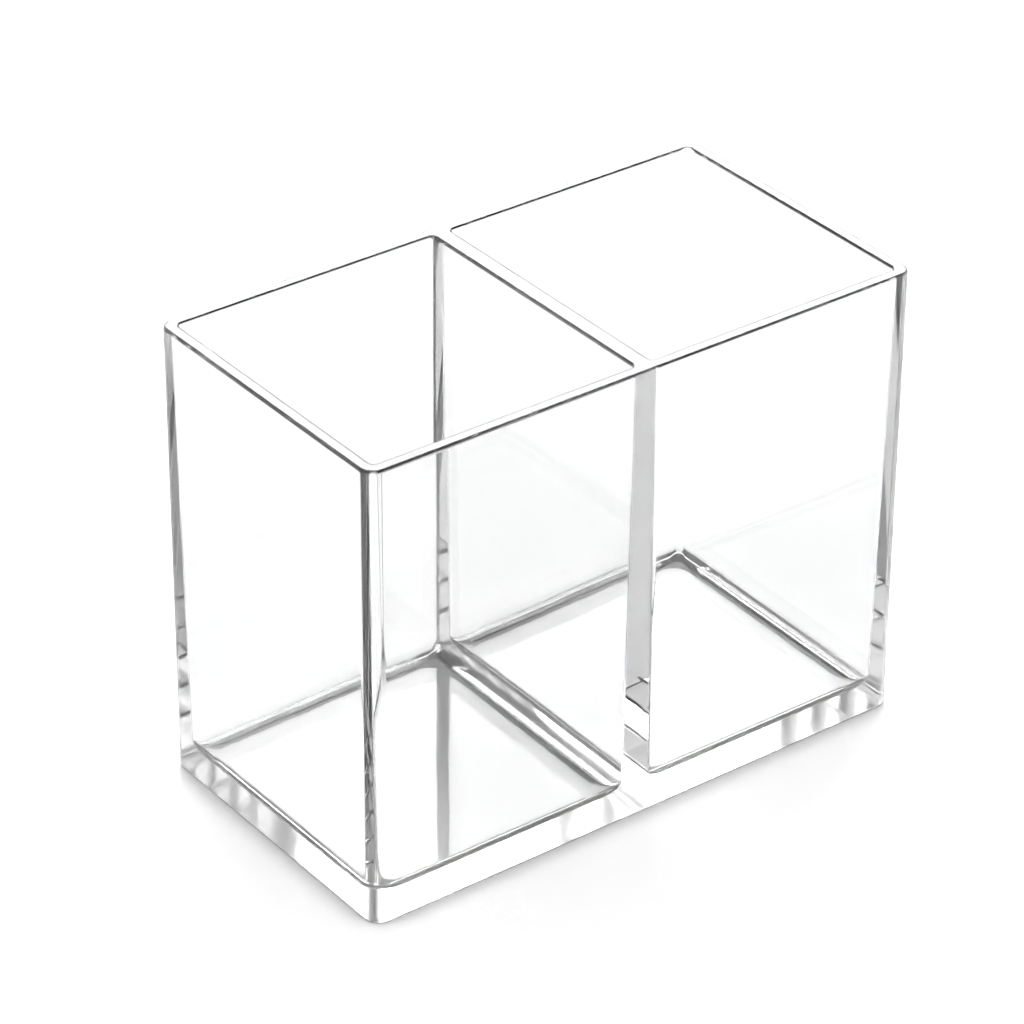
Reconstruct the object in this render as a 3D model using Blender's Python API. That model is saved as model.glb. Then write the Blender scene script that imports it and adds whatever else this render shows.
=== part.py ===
"""Makeup brush holder: an open box of clear acrylic with two equal compartments.

Four wall panels with mitred corners and one divider stand in shallow rebates of a thick base panel, and are
bonded there. X runs along the box, Y from its front to its back, Z up. The origin is on the table, under the
middle of the box.
"""

import math

import bmesh
import bpy

MM = 0.001

# The whole box
BOX_LENGTH = 152.0 * MM
BOX_DEPTH = 81.5 * MM
BOX_HEIGHT = 118.0 * MM
OUTER_CORNER_RADIUS = 4.0 * MM
RIM_EDGE_RADIUS = 0.8 * MM
BASE_EDGE_RADIUS = 0.6 * MM

# The panels, which are thinner at the rim than at the floor
WALL_AT_RIM = 3.5 * MM
WALL_AT_FLOOR = 5.0 * MM
DIVIDER_AT_RIM = 4.9 * MM
DIVIDER_AT_FLOOR = 7.4 * MM
BASE_THICKNESS = 4.8 * MM

# The hollows' own corners. They are tight up to the rim, and open out in the fillet round the floor
HOLLOW_CORNER_RADIUS = 1.0 * MM
FLOOR_CORNER_RADIUS = 6.0 * MM
FLOOR_FILLET_RADIUS = 4.0 * MM

# How the panels seat in each other
BOND_GAP = 0.3 * MM
REBATE_DEPTH = 0.6 * MM
DIVIDER_GROOVE_DEPTH = 0.8 * MM

# How far a cutter runs past what it cuts
OVERRUN = 10.0 * MM

# Counts of flat steps on the rounded forms
OUTER_CORNER_STEPS = 8
HOLLOW_CORNER_STEPS = 8
EDGE_STEPS = 3
FILLET_STEPS = 6

ACRYLIC_COLOUR = (0.93, 0.94, 0.94, 1.0)
ACRYLIC_IOR = 1.49
ACRYLIC_ROUGHNESS = 0.03

# Worked out from the sizes above
HALF_LENGTH = BOX_LENGTH / 2
HALF_DEPTH = BOX_DEPTH / 2
HOLLOW_DEPTH = BOX_HEIGHT - BASE_THICKNESS
SEAT_HEIGHT = BASE_THICKNESS - REBATE_DEPTH


def clear_scene():
    for old in list(bpy.data.objects):
        bpy.data.objects.remove(old, do_unlink=True)


def acrylic(name):
    """Colourless acrylic, which lets nearly all light through."""
    material = bpy.data.materials.new(name)
    material.use_nodes = True
    shader = material.node_tree.nodes["Principled BSDF"]
    shader.inputs["Base Color"].default_value = ACRYLIC_COLOUR
    shader.inputs["Metallic"].default_value = 0.0
    shader.inputs["Roughness"].default_value = ACRYLIC_ROUGHNESS
    shader.inputs["IOR"].default_value = ACRYLIC_IOR
    shader.inputs["Transmission Weight"].default_value = 1.0
    return material


def rounded_ring(low, high, radius, z, steps):
    """Points round a rectangle from low to high at height z, counter-clockwise, with rounded corners."""
    (x0, y0), (x1, y1) = low, high
    corners = (
        (x1 - radius, y0 + radius, -90),
        (x1 - radius, y1 - radius, 0),
        (x0 + radius, y1 - radius, 90),
        (x0 + radius, y0 + radius, 180),
    )
    ring = []
    for cx, cy, start in corners:
        for step in range(steps + 1):
            angle = math.radians(start + 90 * step / steps)
            ring.append((cx + radius * math.cos(angle), cy + radius * math.sin(angle), z))
    return ring


def link(name, mesh):
    made = bpy.data.objects.new(name, mesh)
    bpy.context.scene.collection.objects.link(made)
    return made


def loft(name, rings):
    """A closed solid through rings of equally many points, from the lowest ring to the highest."""
    bm = bmesh.new()
    loops = [[bm.verts.new(point) for point in ring] for ring in rings]
    for lower, upper in zip(loops, loops[1:]):
        for i, corner in enumerate(lower):
            following = (i + 1) % len(lower)
            bm.faces.new((corner, lower[following], upper[following], upper[i]))
    bm.faces.new(list(reversed(loops[0])))
    bm.faces.new(loops[-1])
    mesh = bpy.data.meshes.new(name)
    bm.to_mesh(mesh)
    bm.free()
    return link(name, mesh)


def make_cutter(cutter):
    """Keeps a shape that only cuts other shapes out of the finished model."""
    cutter.hide_render = True
    cutter.display_type = "WIRE"
    return cutter


def cut(target, operation, cutter):
    step = target.modifiers.new(f"{operation} {cutter.name}", "BOOLEAN")
    step.operation = operation
    step.object = cutter
    step.solver = "EXACT"


def quarter_round(radius, steps):
    """Pairs of inset and height that go round a quarter circle, from its flat face up to its side."""
    pairs = []
    for step in range(steps + 1):
        angle = math.radians(90 * step / steps)
        pairs.append((radius * (1 - math.sin(angle)), radius * (1 - math.cos(angle))))
    return pairs


def outer_form():
    """The box's outside as one solid block, with its upright corners, rim and foot edge rounded."""
    levels = quarter_round(BASE_EDGE_RADIUS, EDGE_STEPS)
    levels += [(inset, BOX_HEIGHT - rise) for inset, rise in reversed(quarter_round(RIM_EDGE_RADIUS, EDGE_STEPS))]
    rings = []
    for inset, z in levels:
        low = (-HALF_LENGTH + inset, -HALF_DEPTH + inset)
        high = (HALF_LENGTH - inset, HALF_DEPTH - inset)
        rings.append(rounded_ring(low, high, OUTER_CORNER_RADIUS - inset, z, OUTER_CORNER_STEPS))
    return loft("outer_form", rings)


def between(at_floor, at_rim, z):
    """A size at height z, where it changes evenly from the floor to the rim."""
    return at_floor + (at_rim - at_floor) * (z - BASE_THICKNESS) / HOLLOW_DEPTH


def hollow_ring(side, z, inset):
    """The outline of one compartment at height z, drawn in by inset. Side is -1 on the left and 1 on the right."""
    wall = between(WALL_AT_FLOOR, WALL_AT_RIM, z) + inset
    divider = between(DIVIDER_AT_FLOOR, DIVIDER_AT_RIM, z) / 2 + inset
    if inset > 0:
        radius = HOLLOW_CORNER_RADIUS + (FLOOR_CORNER_RADIUS - HOLLOW_CORNER_RADIUS) * inset / FLOOR_FILLET_RADIUS
    else:
        radius = HOLLOW_CORNER_RADIUS - inset
    ends = sorted((side * divider, side * (HALF_LENGTH - wall)))
    low = (ends[0], -HALF_DEPTH + wall)
    high = (ends[1], HALF_DEPTH - wall)
    return rounded_ring(low, high, radius, z, HOLLOW_CORNER_STEPS)


def hollow_form(side):
    """One compartment's space: it narrows to the floor, ends there in a fillet, and widens at the rounded rim."""
    rings = []
    for inset, rise in quarter_round(FLOOR_FILLET_RADIUS, FILLET_STEPS):
        rings.append(hollow_ring(side, BASE_THICKNESS + rise, inset))
    for inset, rise in reversed(quarter_round(RIM_EDGE_RADIUS, EDGE_STEPS)):
        rings.append(hollow_ring(side, BOX_HEIGHT - rise, -inset))
    rings.append(hollow_ring(side, BOX_HEIGHT + OVERRUN, -RIM_EDGE_RADIUS))
    return loft("hollow_left" if side < 0 else "hollow_right", rings)


def floor_plateau(side, clearance, top):
    """The flat floor of one compartment as a block. The panels' flared feet stand round it."""
    outline = hollow_ring(side, BASE_THICKNESS, FLOOR_FILLET_RADIUS - clearance)
    rings = [[(x, y, z) for x, y, _ in outline] for z in (-OVERRUN, top)]
    return loft(f"plateau_{side}_{clearance:.4f}", rings)


def block(name, outline, bottom, top):
    """An upright block on a plan outline, which runs counter-clockwise."""
    return loft(name, [[(x, y, z) for x, y in outline] for z in (bottom, top)])


def clear_form():
    """The whole clear shape, which the bonded panels make up together."""
    form = make_cutter(outer_form())
    for side in (-1, 1):
        cut(form, "DIFFERENCE", make_cutter(hollow_form(side)))
    return form


def wide_block(name, bottom, top):
    """A block that runs past the box on all four sides."""
    reach_x = HALF_LENGTH + OVERRUN
    reach_y = HALF_DEPTH + OVERRUN
    outline = [(-reach_x, -reach_y), (reach_x, -reach_y), (reach_x, reach_y), (-reach_x, reach_y)]
    return block(name, outline, bottom, top)


def base_panel(form):
    """The thick floor. Its edge and the strip under the divider are rebated for the panels' feet."""
    rebate = make_cutter(wide_block("rebate", SEAT_HEIGHT, BOX_HEIGHT + OVERRUN))
    for side in (-1, 1):
        cut(rebate, "DIFFERENCE", make_cutter(floor_plateau(side, 0.0, BASE_THICKNESS + OVERRUN)))
    panel = wide_block("base_panel", -OVERRUN, BASE_THICKNESS + OVERRUN)
    cut(panel, "INTERSECT", form)
    cut(panel, "DIFFERENCE", rebate)
    return panel


def seat_cutter():
    """What the base panel fills, grown by the bond gap, to be cut from every panel that stands on it."""
    seat = make_cutter(wide_block("seat", -BASE_THICKNESS - OVERRUN, SEAT_HEIGHT + BOND_GAP))
    for side in (-1, 1):
        cut(seat, "UNION", make_cutter(floor_plateau(side, BOND_GAP, BASE_THICKNESS + OVERRUN)))
    return seat


def groove_half_width(z):
    """Half the width of the divider's flared end, where it meets a wall."""
    return between(DIVIDER_AT_FLOOR, DIVIDER_AT_RIM, z) / 2 + HOLLOW_CORNER_RADIUS


def divider_block(name, grow):
    """The space between the bottoms of the two wall grooves, grown by grow on its ends and sides."""
    rings = []
    for z in (-OVERRUN, BOX_HEIGHT + OVERRUN):
        half_width = groove_half_width(z) + grow
        half_span = HALF_DEPTH - between(WALL_AT_FLOOR, WALL_AT_RIM, z) + DIVIDER_GROOVE_DEPTH - BOND_GAP + grow
        plan = [(-half_width, -half_span), (half_width, -half_span), (half_width, half_span), (-half_width, half_span)]
        rings.append([(x, y, z) for x, y in plan])
    return loft(name, rings)


def divider_panel(form, seat):
    """The middle wall, flared along its foot and both ends, where it is bonded."""
    panel = divider_block("divider_panel", 0.0)
    cut(panel, "INTERSECT", form)
    cut(panel, "DIFFERENCE", seat)
    return panel


def wall_panel(name, form, seat, groove, along_x, side):
    """One outer wall, with both upright edges mitred. Side is -1 at the front or left and 1 at the back or right."""
    half_run = HALF_LENGTH if along_x else HALF_DEPTH
    half_across = HALF_DEPTH if along_x else HALF_LENGTH
    mitre_gap = BOND_GAP / math.sqrt(2)
    reach = min(HALF_LENGTH, HALF_DEPTH) / 2
    near = half_across + OVERRUN
    far = half_across - reach
    near_half = half_run + OVERRUN - mitre_gap
    far_half = half_run - reach - mitre_gap
    plan = [(-near_half, near), (near_half, near), (far_half, far), (-far_half, far)]
    if along_x:
        outline = [(along, across * side) for along, across in plan]
    else:
        outline = [(across * side, along) for along, across in plan]
    if (side > 0) == along_x:
        outline.reverse()
    panel = block(name, outline, -OVERRUN, BOX_HEIGHT + OVERRUN)
    cut(panel, "INTERSECT", form)
    cut(panel, "DIFFERENCE", seat)
    if along_x:
        cut(panel, "DIFFERENCE", groove)
    return panel


def finish_panel(panel):
    """Gives a panel its own material, and smooth shading across its rounded forms."""
    panel.data.materials.append(acrylic(f"clear acrylic, {panel.name}"))
    panel.data.shade_smooth()
    panel.data.set_sharp_from_angle(angle=math.radians(30))


def build_holder():
    clear_scene()
    form = clear_form()
    seat = seat_cutter()
    groove = make_cutter(divider_block("divider_groove", BOND_GAP))
    panels = [
        base_panel(form),
        wall_panel("front_panel", form, seat, groove, True, -1),
        wall_panel("back_panel", form, seat, groove, True, 1),
        wall_panel("left_panel", form, seat, groove, False, -1),
        wall_panel("right_panel", form, seat, groove, False, 1),
        divider_panel(form, seat),
    ]
    for panel in panels:
        finish_panel(panel)


build_holder()
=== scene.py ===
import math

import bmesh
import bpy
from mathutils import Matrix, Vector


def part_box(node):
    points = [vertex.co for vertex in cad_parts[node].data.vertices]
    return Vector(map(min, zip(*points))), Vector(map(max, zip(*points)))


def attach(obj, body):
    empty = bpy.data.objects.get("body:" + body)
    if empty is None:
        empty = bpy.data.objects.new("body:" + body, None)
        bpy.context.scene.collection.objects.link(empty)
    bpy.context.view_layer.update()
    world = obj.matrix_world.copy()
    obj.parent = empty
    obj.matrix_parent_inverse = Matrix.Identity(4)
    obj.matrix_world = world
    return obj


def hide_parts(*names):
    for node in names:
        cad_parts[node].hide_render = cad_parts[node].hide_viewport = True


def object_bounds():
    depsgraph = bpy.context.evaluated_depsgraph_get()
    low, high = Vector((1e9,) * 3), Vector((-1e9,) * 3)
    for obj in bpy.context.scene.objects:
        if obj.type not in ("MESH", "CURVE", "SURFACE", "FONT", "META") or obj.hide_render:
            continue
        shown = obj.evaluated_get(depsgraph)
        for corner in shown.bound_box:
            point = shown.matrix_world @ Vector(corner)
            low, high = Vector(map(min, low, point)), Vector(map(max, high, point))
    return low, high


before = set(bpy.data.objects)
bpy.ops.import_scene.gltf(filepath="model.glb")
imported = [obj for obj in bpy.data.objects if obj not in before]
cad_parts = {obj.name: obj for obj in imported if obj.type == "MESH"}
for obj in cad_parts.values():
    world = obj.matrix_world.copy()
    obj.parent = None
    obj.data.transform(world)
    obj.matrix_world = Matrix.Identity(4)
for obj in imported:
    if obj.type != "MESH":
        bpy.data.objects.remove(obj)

# Makeup brush holder in clear acrylic, dressed for its photograph. One clear form, with finer rounding than
# the CAD model's, is cut into six panels that stand for the CAD model's six. The panels meet without its gaps,
# because solvent cement melts them into one clear body, and they share the form's smooth shading across the
# bond lines. The divider takes the whole fillets along its foot, which the CAD model has only in part.

MM = 0.001
cad_low, cad_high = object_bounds()
BASE_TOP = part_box("base_panel")[1].z

# Sizes repeated from the part's source
OUTER_CORNER_RADIUS = 4.0 * MM
RIM_EDGE_RADIUS = 0.8 * MM
BASE_EDGE_RADIUS = 0.6 * MM
WALL_AT_RIM = 3.5 * MM
WALL_AT_FLOOR = 5.0 * MM
DIVIDER_AT_RIM = 4.9 * MM
DIVIDER_AT_FLOOR = 7.4 * MM
HOLLOW_CORNER_RADIUS = 1.0 * MM
FLOOR_CORNER_RADIUS = 6.0 * MM
FLOOR_FILLET_RADIUS = 4.0 * MM
REBATE_DEPTH = 0.6 * MM
DIVIDER_GROOVE_DEPTH = 0.8 * MM

# Two bonded panels share this much, so that a ray is always inside one of them
BOND_OVERLAP = 0.01 * MM
OVERRUN = 10.0 * MM

# Steps round a quarter circle
OUTER_CORNER_STEPS = 24
HOLLOW_CORNER_STEPS = 16
EDGE_STEPS = 8
FILLET_STEPS = 16

HALF_LENGTH = (cad_high.x - cad_low.x) / 2
HALF_DEPTH = (cad_high.y - cad_low.y) / 2
BOX_HEIGHT = cad_high.z
HOLLOW_DEPTH = BOX_HEIGHT - BASE_TOP
SEAT_HEIGHT = BASE_TOP - REBATE_DEPTH

scene = bpy.context.scene


# Small helpers

def linear(code):
    """An sRGB hex colour as linear RGBA."""
    channels = [int(code[i:i + 2], 16) / 255 for i in (1, 3, 5)]
    return [c / 12.92 if c <= 0.04045 else ((c + 0.055) / 1.055) ** 2.4 for c in channels] + [1.0]


def add_node(tree, kind, settings=None, **sockets):
    """A node with its settings. A socket is called by its name, or as i0 by its place.

    It takes a plain value, an output to link, or a node, whose first output is linked.
    """
    made = tree.nodes.new(kind)
    for key, value in (settings or {}).items():
        setattr(made, key, value)
    for key, value in sockets.items():
        name = int(key[1:]) if key[0] == "i" and key[1:].isdigit() else key.replace("_", " ")
        if isinstance(value, bpy.types.Node):
            value = value.outputs[0]
        if isinstance(value, bpy.types.NodeSocket):
            tree.links.new(value, made.inputs[name])
        else:
            made.inputs[name].default_value = value
    return made


def link(name, mesh):
    """A new object in the scene."""
    made = bpy.data.objects.new(name, mesh)
    scene.collection.objects.link(made)
    return made


def settled(made):
    """The object with its modifiers applied and taken off."""
    mesh = bpy.data.meshes.new_from_object(made.evaluated_get(bpy.context.evaluated_depsgraph_get()))
    made.modifiers.clear()
    made.data = mesh
    mesh.name = made.name
    return made


# The clear form

def rounded_ring(low, high, radius, z, steps):
    """Points round a rectangle from low to high at height z, counter-clockwise, with rounded corners."""
    centres = (
        (high[0] - radius, low[1] + radius, -90),
        (high[0] - radius, high[1] - radius, 0),
        (low[0] + radius, high[1] - radius, 90),
        (low[0] + radius, low[1] + radius, 180),
    )
    ring = []
    for cx, cy, start in centres:
        for step in range(steps + 1):
            angle = math.radians(start + 90 * step / steps)
            ring.append((cx + radius * math.cos(angle), cy + radius * math.sin(angle), z))
    return ring


def loft(name, rings, material=None):
    """A closed solid through rings of equally many points, counter-clockwise as seen from the last ring."""
    bm = bmesh.new()
    loops = [[bm.verts.new(point) for point in ring] for ring in rings]
    for lower, upper in zip(loops, loops[1:]):
        for i, corner in enumerate(lower):
            following = (i + 1) % len(lower)
            bm.faces.new((corner, lower[following], upper[following], upper[i]))
    bm.faces.new(list(reversed(loops[0])))
    bm.faces.new(loops[-1])
    mesh = bpy.data.meshes.new(name)
    bm.to_mesh(mesh)
    bm.free()
    if material:
        mesh.materials.append(material)
    return link(name, mesh)


def quarter_round(radius, steps):
    """Pairs of inset and height round a quarter circle, from its flat face up to its side."""
    angles = [math.radians(90 * step / steps) for step in range(steps + 1)]
    return [(radius * (1 - math.sin(a)), radius * (1 - math.cos(a))) for a in angles]


def between(at_floor, at_rim, z):
    """A size at height z, where it changes evenly from the floor to the rim."""
    return at_floor + (at_rim - at_floor) * (z - BASE_TOP) / HOLLOW_DEPTH


def outer_form(material):
    """The box without its compartments, with rounded edges at its foot and its rim."""
    rings = []
    levels = quarter_round(BASE_EDGE_RADIUS, EDGE_STEPS)
    for inset, rise in reversed(quarter_round(RIM_EDGE_RADIUS, EDGE_STEPS)):
        levels.append((inset, BOX_HEIGHT - rise))
    for inset, z in levels:
        low = (-HALF_LENGTH + inset, -HALF_DEPTH + inset)
        high = (HALF_LENGTH - inset, HALF_DEPTH - inset)
        rings.append(rounded_ring(low, high, OUTER_CORNER_RADIUS - inset, z, OUTER_CORNER_STEPS))
    return loft("clear_form", rings, material)


def hollow_ring(side, z, inset):
    """One compartment's outline at height z, drawn in by inset. Side is -1 at the left and 1 at the right."""
    wall = between(WALL_AT_FLOOR, WALL_AT_RIM, z) + inset
    divider = between(DIVIDER_AT_FLOOR, DIVIDER_AT_RIM, z) / 2 + inset
    opening_out = (FLOOR_CORNER_RADIUS - HOLLOW_CORNER_RADIUS) / FLOOR_FILLET_RADIUS
    radius = HOLLOW_CORNER_RADIUS + (opening_out * inset if inset > 0 else -inset)
    left, right = sorted((side * divider, side * (HALF_LENGTH - wall)))
    front, back = wall - HALF_DEPTH, HALF_DEPTH - wall
    return rounded_ring((left, front), (right, back), radius, z, HOLLOW_CORNER_STEPS)


def hollow_form(side, material):
    """One compartment's space, with a fillet round its floor and a rounded rim."""
    rings = []
    for inset, rise in quarter_round(FLOOR_FILLET_RADIUS, FILLET_STEPS):
        rings.append(hollow_ring(side, BASE_TOP + rise, inset))
    for inset, rise in reversed(quarter_round(RIM_EDGE_RADIUS, EDGE_STEPS)):
        rings.append(hollow_ring(side, BOX_HEIGHT - rise, -inset))
    rings.append(hollow_ring(side, BOX_HEIGHT + OVERRUN, -RIM_EDGE_RADIUS))
    return loft(f"hollow_{side}", rings, material)


def combine(target, operation, *others):
    """Cuts, joins or intersects solids for good. Faces that come from another solid bring its material."""
    for other in others:
        step = target.modifiers.new(operation, "BOOLEAN")
        step.operation = operation
        step.object = other
        step.solver = "EXACT"
        step.material_mode = "TRANSFER"
    settled(target)
    for other in others:
        bpy.data.objects.remove(other)
    return target


# A corner's shading follows its largest face, and faces whose areas differ by less than this share it
LARGEST_FACE_FIRST = 100
EQUAL_AREAS = 0.001


def clear_form(material):
    """The clear shape that the bonded panels make up together, shaded smooth with flats kept flat."""
    form = combine(outer_form(material), "DIFFERENCE", hollow_form(-1, material), hollow_form(1, material))
    form.data.shade_smooth()
    weighting = form.modifiers.new("flat faces stay flat", "WEIGHTED_NORMAL")
    weighting.mode = "FACE_AREA"
    weighting.weight = LARGEST_FACE_FIRST
    weighting.thresh = EQUAL_AREAS
    weighting.keep_sharp = False
    return settled(form)


# The six panels

def block(name, bottom, top, plan, material=None):
    """An upright block with the given plan."""
    return loft(name, [[(x, y, z) for x, y in plan] for z in (bottom, top)], material)


def wide_plan():
    """A plan that runs past the box on all four sides."""
    x, y = HALF_LENGTH + OVERRUN, HALF_DEPTH + OVERRUN
    return [(-x, -y), (x, -y), (x, y), (-x, y)]


def base_space(name, grow, material):
    """What the base panel fills: all below the walls' seats, and the raised floors of both compartments."""
    space = block(name, -OVERRUN, SEAT_HEIGHT + grow, wide_plan(), material)
    floors = []
    for side in (-1, 1):
        plan = [(x, y) for x, y, _ in hollow_ring(side, BASE_TOP, FLOOR_FILLET_RADIUS - grow)]
        floors.append(block(f"floor_{side}", -2 * OVERRUN, BASE_TOP + OVERRUN, plan, material))
    return combine(space, "UNION", *floors)


def divider_space(name, grow, material):
    """What the divider fills between the front and back grooves, with the fillets along its foot."""
    low, high = -OVERRUN, BOX_HEIGHT + OVERRUN
    foot_top = BASE_TOP + FLOOR_FILLET_RADIUS + grow
    foot = DIVIDER_AT_FLOOR / 2 + FLOOR_FILLET_RADIUS + HOLLOW_CORNER_RADIUS + grow
    neck = between(DIVIDER_AT_FLOOR, DIVIDER_AT_RIM, foot_top) / 2 + HOLLOW_CORNER_RADIUS + grow
    tip = between(DIVIDER_AT_FLOOR, DIVIDER_AT_RIM, high) / 2 + HOLLOW_CORNER_RADIUS + grow
    right = [(foot, low), (foot, foot_top), (neck, foot_top), (tip, high)]
    outline = [right[0]] + [(-x, z) for x, z in right] + right[:0:-1]
    rings = []
    for side in (-1, 1):
        ring = []
        for x, z in outline:
            y = HALF_DEPTH - between(WALL_AT_FLOOR, WALL_AT_RIM, z) + DIVIDER_GROOVE_DEPTH + grow
            ring.append((x, side * y, z))
        rings.append(ring)
    return loft(name, rings, material)


def wall_space(name, along_x, side, grow, material):
    """What one outer wall fills, between the mitres at its two upright edges."""
    half_run, half_across = (HALF_LENGTH, HALF_DEPTH) if along_x else (HALF_DEPTH, HALF_LENGTH)
    reach = min(HALF_LENGTH, HALF_DEPTH) / 2
    near, far = half_across + OVERRUN, half_across - reach
    near_half, far_half = half_run + OVERRUN + grow, half_run - reach + grow
    plan = [(-near_half, near), (near_half, near), (far_half, far), (-far_half, far)]
    plan = [(a, b * side) if along_x else (b * side, a) for a, b in plan]
    if (side > 0) == along_x:
        plan.reverse()
    return block(name, -OVERRUN, BOX_HEIGHT + OVERRUN, plan, material)


def panel(name, form, space, *cutters):
    """One panel: its space's share of the clear form, with the bonded faces marked and the form's shading."""
    form_copy = link(f"{name} form", form.data.copy())
    made = combine(space, "INTERSECT", form_copy)
    if cutters:
        combine(made, "DIFFERENCE", *cutters)
    made.name = name
    mesh = made.data
    mesh.name = name
    kinds = [mesh.materials[face.material_index] for face in mesh.polygons]
    mesh.shade_smooth()
    shading = made.modifiers.new("shading of the clear form", "DATA_TRANSFER")
    shading.object = form
    shading.use_loop_data = True
    shading.data_types_loops = {"CUSTOM_NORMAL"}
    shading.loop_mapping = "POLYINTERP_NEAREST"
    mesh = settled(made).data
    normals = [corner.vector.copy() for corner in mesh.corner_normals]
    for face, kind in zip(mesh.polygons, kinds):
        if kind != OPEN:
            for corner in face.loop_indices:
                normals[corner] = face.normal.copy()
    mesh.normals_split_custom_set(normals)
    exposed = mesh.attributes.new("exposed", "FLOAT", "FACE")
    exposed.data.foreach_set("value", [float(kind == OPEN) for kind in kinds])
    for face in mesh.polygons:
        face.material_index = 0
    mesh.materials.clear()
    return made


# Stand-ins that tell an open face from a bonded one while the panels are cut
OPEN = bpy.data.materials.new("open face")
BONDED = bpy.data.materials.new("bonded face")

form = clear_form(OPEN)
over, under = BOND_OVERLAP, -BOND_OVERLAP
panels = {"base_panel": panel("clear_base", form, base_space("base", over, BONDED))}
for node, along_x, side in (
    ("front_panel", True, -1), ("back_panel", True, 1), ("left_panel", False, -1), ("right_panel", False, 1)
):
    cutters = [base_space("seat", under, BONDED)]
    if along_x:
        cutters.append(divider_space("groove", under, BONDED))
    space = wall_space(node, along_x, side, over, BONDED)
    panels[node] = panel(node.replace("_panel", "_wall"), form, space, *cutters)
panels["divider_panel"] = panel(
    "divider_wall", form, divider_space("divider", over, BONDED), base_space("seat", under, BONDED)
)
bpy.data.objects.remove(form)


# Materials

TIMES = {"operation": "MULTIPLY"}
PLUS = {"operation": "ADD"}
SMOOTH = {"interpolation_type": "SMOOTHSTEP"}

ACRYLIC_IOR = 1.49
POLISHED = 0.0

# The long soft waves of a polished sheet, which run upright
WAVE_WIDTH = 16.0 * MM
WAVE_LENGTH = 80.0 * MM
WAVE_HEIGHT = 0.05 * MM


def clear_acrylic(name, density):
    """Clear acrylic, cast and polished: colourless and glossy, while a bonded face shows nothing.

    To the eye its faces are white like the table behind them, and its edges grey, where light comes a long
    way through the sheet. It is a little uneven, in long waves.
    """
    made = bpy.data.materials.new(name)
    made.use_nodes = True
    tree = made.node_tree
    shader = tree.nodes["Principled BSDF"]
    shader.inputs["Base Color"].default_value = linear("#ffffff")
    shader.inputs["Roughness"].default_value = POLISHED
    shader.inputs["IOR"].default_value = ACRYLIC_IOR
    shader.inputs["Transmission Weight"].default_value = 1.0

    place = add_node(tree, "ShaderNodeTexCoord").outputs["Object"]
    drawn_out = add_node(tree, "ShaderNodeMapping", Vector=place, Scale=(1.0, 1.0, WAVE_WIDTH / WAVE_LENGTH))
    waves = add_node(tree, "ShaderNodeTexNoise", Vector=drawn_out, Scale=1 / WAVE_WIDTH, Detail=0.0)
    uneven = add_node(tree, "ShaderNodeBump", Height=waves, Strength=1.0, Distance=WAVE_HEIGHT)
    tree.links.new(uneven.outputs["Normal"], shader.inputs["Normal"])

    exposed = add_node(tree, "ShaderNodeAttribute", {"attribute_name": "exposed"}).outputs["Fac"]
    bond = add_node(tree, "ShaderNodeBsdfTransparent")
    shown = add_node(tree, "ShaderNodeMixShader", i0=exposed, i1=bond, i2=shader)
    tree.links.new(shown.outputs[0], tree.nodes["Material Output"].inputs["Surface"])
    body = add_node(tree, "ShaderNodeVolumeAbsorption", Color=linear("#000000"), Density=density)
    tree.links.new(body.outputs[0], tree.nodes["Material Output"].inputs["Volume"])
    return made


def make_satin_below(material):
    """A faint satin on the face that stands on the table, which softens what shows through the thick base."""
    tree = material.node_tree
    place = tree.nodes["Texture Coordinate"].outputs["Object"]
    z = add_node(tree, "ShaderNodeSeparateXYZ", Vector=place).outputs["Z"]
    satin = add_node(
        tree, "ShaderNodeMapRange", Value=z, From_Min=0.0, From_Max=BASE_EDGE_RADIUS / 2,
        To_Min=UNDERSIDE_ROUGHNESS, To_Max=POLISHED,
    )
    tree.links.new(satin.outputs["Result"], tree.nodes["Principled BSDF"].inputs["Roughness"])


# How much light the acrylic takes, as a density for each metre of the way through it
WALL_DENSITY = 6.0
BASE_DENSITY = 0.5
UNDERSIDE_ROUGHNESS = 0.12
wall_acrylic = clear_acrylic("clear acrylic sheet, polished", WALL_DENSITY)
base_acrylic = clear_acrylic("clear acrylic plate, polished with a satin underside", BASE_DENSITY)
make_satin_below(base_acrylic)

for node, piece in panels.items():
    piece.data.materials.append(base_acrylic if node == "base_panel" else wall_acrylic)
    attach(piece, "root")
    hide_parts(node)


# The studio

TABLE_COLOUR = "#f0f0f0"
TABLE_ROUGHNESS = 0.9
TABLE_GLOW = 0.7
GLOW_IN_GLASS = 0.1
TABLE_HALF = 3.0
TABLE_DROP = 0.1 * MM

# A shade painted on the table close round the foot, which fades out as the share of open sky grows. That share
# is taken leaning to the right, so the painted shade is deepest on the left
PAINTED_SHADE_AT_FOOT = 0.29
CONTACT_REACH = 9.0 * MM
FULL_CONTACT = 0.2
NO_CONTACT = 0.9
TO_OPEN_SIDE = (0.5, -0.05, 0.86)


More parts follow.
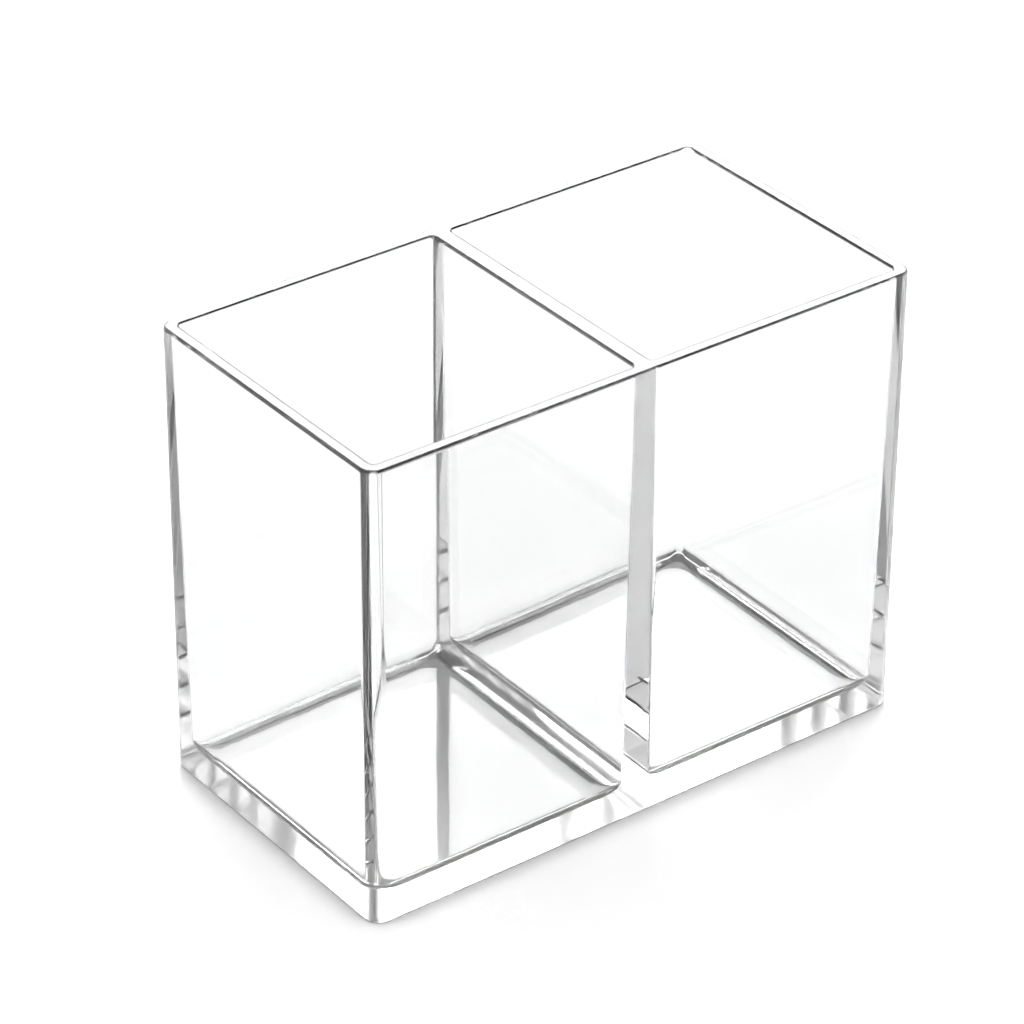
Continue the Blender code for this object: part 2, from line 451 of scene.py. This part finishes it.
def table_material():
    """White laminate, matt. It keeps the holder's shadow, and its glow makes the bare table plain white.

    The camera also sees a painted shade close round the foot, deepest on the holder's left.
    """
    made = bpy.data.materials.new("white laminate, matt")
    made.use_nodes = True
    tree = made.node_tree
    shader = tree.nodes["Principled BSDF"]
    shader.inputs["Base Color"].default_value = linear(TABLE_COLOUR)
    shader.inputs["Roughness"].default_value = TABLE_ROUGHNESS
    shader.inputs["Specular IOR Level"].default_value = 0.0

    glow = add_node(tree, "ShaderNodeEmission", Strength=TABLE_GLOW)
    lifted = add_node(tree, "ShaderNodeAddShader", i0=shader, i1=glow)
    # Painted shade: ambient occlusion darkens the table round the foot, and only the camera sees it
    sky = add_node(tree, "ShaderNodeAmbientOcclusion", Distance=CONTACT_REACH, Normal=TO_OPEN_SIDE)
    painted_contact_shade = add_node(
        tree, "ShaderNodeMapRange", SMOOTH, Value=sky.outputs["AO"],
        From_Min=FULL_CONTACT, From_Max=NO_CONTACT, To_Min=PAINTED_SHADE_AT_FOOT,
    )
    painted_shade_black = add_node(tree, "ShaderNodeEmission", Strength=0.0)
    to_camera = add_node(tree, "ShaderNodeMixShader", i0=painted_contact_shade, i1=painted_shade_black, i2=lifted)

    glow_in_glass = add_node(tree, "ShaderNodeEmission", Strength=GLOW_IN_GLASS)
    to_glass = add_node(tree, "ShaderNodeAddShader", i0=shader, i1=glow_in_glass)

    path = add_node(tree, "ShaderNodeLightPath")
    in_glass = add_node(
        tree, "ShaderNodeMath", {"operation": "MAXIMUM"},
        i0=path.outputs["Is Glossy Ray"], i1=path.outputs["Is Transmission Ray"],
    )
    is_camera = path.outputs["Is Camera Ray"]
    to_others = add_node(tree, "ShaderNodeMixShader", i0=is_camera, i1=shader, i2=to_camera)
    shown = add_node(tree, "ShaderNodeMixShader", i0=in_glass, i1=to_others, i2=to_glass)
    tree.links.new(shown.outputs[0], tree.nodes["Material Output"].inputs["Surface"])
    return made


table_mesh = bpy.data.meshes.new("table")
table_corners = [
    (along * TABLE_HALF, across * TABLE_HALF, -TABLE_DROP)
    for along, across in ((-1, -1), (1, -1), (1, 1), (-1, 1))
]
table_mesh.from_pydata(table_corners, [], [(0, 1, 2, 3)])
table = link("table", table_mesh)
table_mesh.materials.append(table_material())

# The camera, from a fit of the box's edges to the photograph. Its lens and sensor are in millimetres
CAMERA_PLACE = Vector((-551.1, -720.11, 620.63)) * MM
CAMERA_RIGHT = Vector((0.799997, -0.599982, 0.005089))
CAMERA_UP = Vector((0.311641, 0.42275, 0.850977))
CAMERA_LENS = 162.3017
CAMERA_SENSOR = 36.0
lens = bpy.data.cameras.new("camera")
lens.sensor_width = CAMERA_SENSOR
lens.lens = CAMERA_LENS
camera = bpy.data.objects.new("camera", lens)
scene.collection.objects.link(camera)
turned = Matrix((CAMERA_RIGHT, CAMERA_UP, CAMERA_RIGHT.cross(CAMERA_UP))).transposed()
camera.matrix_world = Matrix.Translation(CAMERA_PLACE) @ turned.to_4x4()
scene.camera = camera

# The studio's light, by direction. A softbox behind the holder is mirrored in the floors of the compartments.
# Bright walls stand low all round, and the dark ceiling draws the dark lines in the clear edges. The table is
# lit by a high key light, also from behind, and a little from all sides. Heights are sines of an elevation,
# and half widths are degrees to each side of AWAY, the level direction in which the camera looks
WALL_LIGHT = 1.4
WALL_TOP = 0.6
CEILING_LIGHT = 0.03
CEILING_START = 0.68
SOFTBOX_LIGHT = 12.0
SOFTBOX_HEIGHTS = (0.42, 0.62)
SOFTBOX_HALF_WIDTH = 22.0
KEY_LIGHT = 54.0
KEY_HEIGHTS = (0.74, 0.9)
KEY_HALF_WIDTH = 5.0
FILL_LIGHT = 0.3
AWAY = Vector((0.60252, 0.79811, 0.0))

# How far a softbox fades beyond its edges: in height, and as a multiple of its half width
HEIGHT_FADE = 0.05
WIDTH_FADE = 1.4

world = bpy.data.worlds.new("studio")
scene.world = world
world.use_nodes = True
tree = world.node_tree
backdrop = tree.nodes["Background"]
backdrop.inputs["Color"].default_value = (1.0, 1.0, 1.0, 1.0)
backdrop.inputs["Strength"].default_value = 1.0
direction = add_node(tree, "ShaderNodeTexCoord").outputs["Generated"]
height = add_node(tree, "ShaderNodeSeparateXYZ", Vector=direction).outputs["Z"]
level_part = add_node(tree, "ShaderNodeVectorMath", TIMES, i0=direction, i1=(1.0, 1.0, 0.0))
compass = add_node(tree, "ShaderNodeVectorMath", {"operation": "NORMALIZE"}, i0=level_part)
away = add_node(tree, "ShaderNodeVectorMath", {"operation": "DOT_PRODUCT"}, i0=compass, i1=AWAY)
facing = away.outputs["Value"]


def softbox(heights, half_width, light):
    """A bright upright panel behind the holder, with soft edges."""
    low, high = heights
    side = math.cos(math.radians(half_width))
    outside = math.cos(math.radians(WIDTH_FADE * half_width))
    above = add_node(
        tree, "ShaderNodeMapRange", SMOOTH, Value=height, From_Min=low - HEIGHT_FADE, From_Max=low
    )
    below = add_node(
        tree, "ShaderNodeMapRange", SMOOTH, Value=height, From_Min=high + HEIGHT_FADE, From_Max=high
    )
    beside = add_node(
        tree, "ShaderNodeMapRange", SMOOTH, Value=facing, From_Min=outside, From_Max=side, To_Max=light
    )
    tall = add_node(tree, "ShaderNodeMath", TIMES, i0=above, i1=below)
    return add_node(tree, "ShaderNodeMath", TIMES, i0=tall, i1=beside)


walls = add_node(
    tree, "ShaderNodeMapRange", SMOOTH, Value=height, From_Min=WALL_TOP, From_Max=CEILING_START,
    To_Min=WALL_LIGHT, To_Max=CEILING_LIGHT,
)
behind = softbox(SOFTBOX_HEIGHTS, SOFTBOX_HALF_WIDTH, SOFTBOX_LIGHT)
seen_in_glass = add_node(tree, "ShaderNodeMath", PLUS, i0=walls, i1=behind)
key = softbox(KEY_HEIGHTS, KEY_HALF_WIDTH, KEY_LIGHT)
on_table = add_node(tree, "ShaderNodeMath", PLUS, i0=key, i1=FILL_LIGHT)

# A ray that has left the table, which has a diffuse depth of 1, meets the key and the fill. Any other ray but
# the camera's meets what the glass sees
BEFORE_TABLE = 0.5
paths = add_node(tree, "ShaderNodeLightPath")
after_table = add_node(
    tree, "ShaderNodeMath", {"operation": "GREATER_THAN"}, i0=paths.outputs["Diffuse Depth"], i1=BEFORE_TABLE
)
level = add_node(tree, "ShaderNodeMix", Factor=after_table, A=seen_in_glass, B=on_table)
light = add_node(tree, "ShaderNodeBackground", Strength=level)
mixed = add_node(tree, "ShaderNodeMixShader", i0=paths.outputs["Is Camera Ray"], i1=light, i2=backdrop)
tree.links.new(mixed.outputs[0], tree.nodes["World Output"].inputs["Surface"])

# Light crosses many clear faces on its way, and hidden bonds beside them
CLEAR_BOUNCES = 24
BOND_BOUNCES = 48

scene.view_settings.view_transform = "Standard"
scene.cycles.sample_clamp_indirect = 0.0
scene.cycles.max_bounces = CLEAR_BOUNCES
scene.cycles.glossy_bounces = CLEAR_BOUNCES
scene.cycles.transmission_bounces = CLEAR_BOUNCES
scene.cycles.transparent_max_bounces = BOND_BOUNCES
